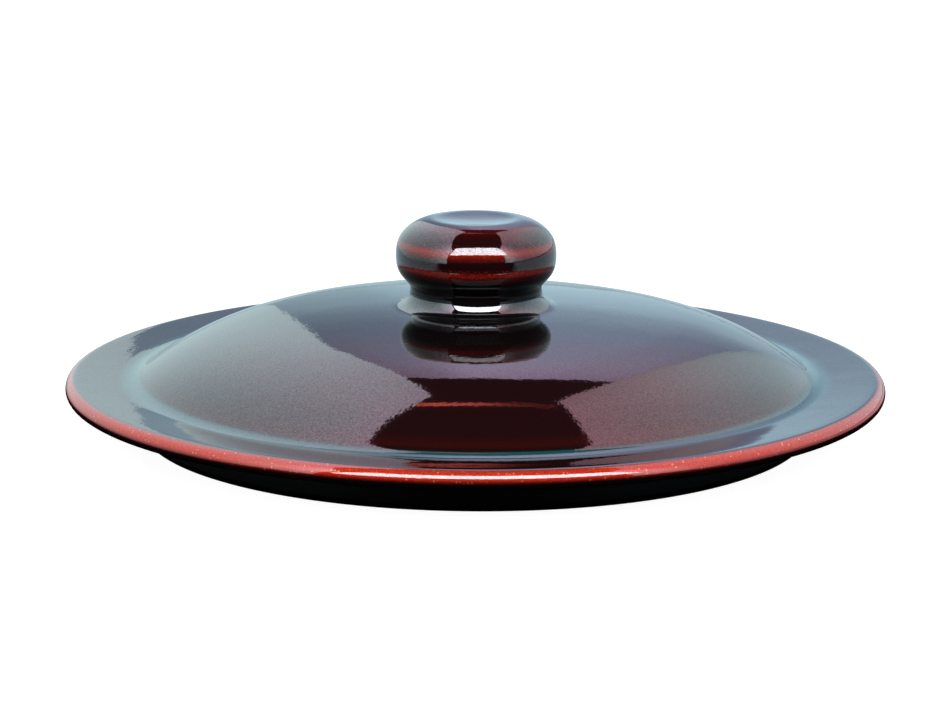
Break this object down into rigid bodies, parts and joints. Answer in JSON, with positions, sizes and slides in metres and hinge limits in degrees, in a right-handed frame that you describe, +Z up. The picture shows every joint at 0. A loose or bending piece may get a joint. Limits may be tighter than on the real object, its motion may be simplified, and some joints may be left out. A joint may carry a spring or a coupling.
{
  "type": "clay pot lid",
  "caption": "Round domed stoneware lid with a bun-shaped knob, a dished flange with a rounded rim and a locating ring underneath, in glossy iron-red glaze.",
  "frame": {"origin": "centre of the locating ring's foot, on the plane that the lid stands on", "axes": "+Z up along the turning axis, from the foot to the knob; X and Y are free, because the form is turned"},
  "size_m": [0.24, 0.24, 0.0625],
  "materials": {
    "iron_glaze": "glossy iron-red glaze that breaks orange on thin edges, over dark stoneware"
  },
  "bodies": {
    "root": {"lid": "iron_glaze"}
  },
  "joints": []
}
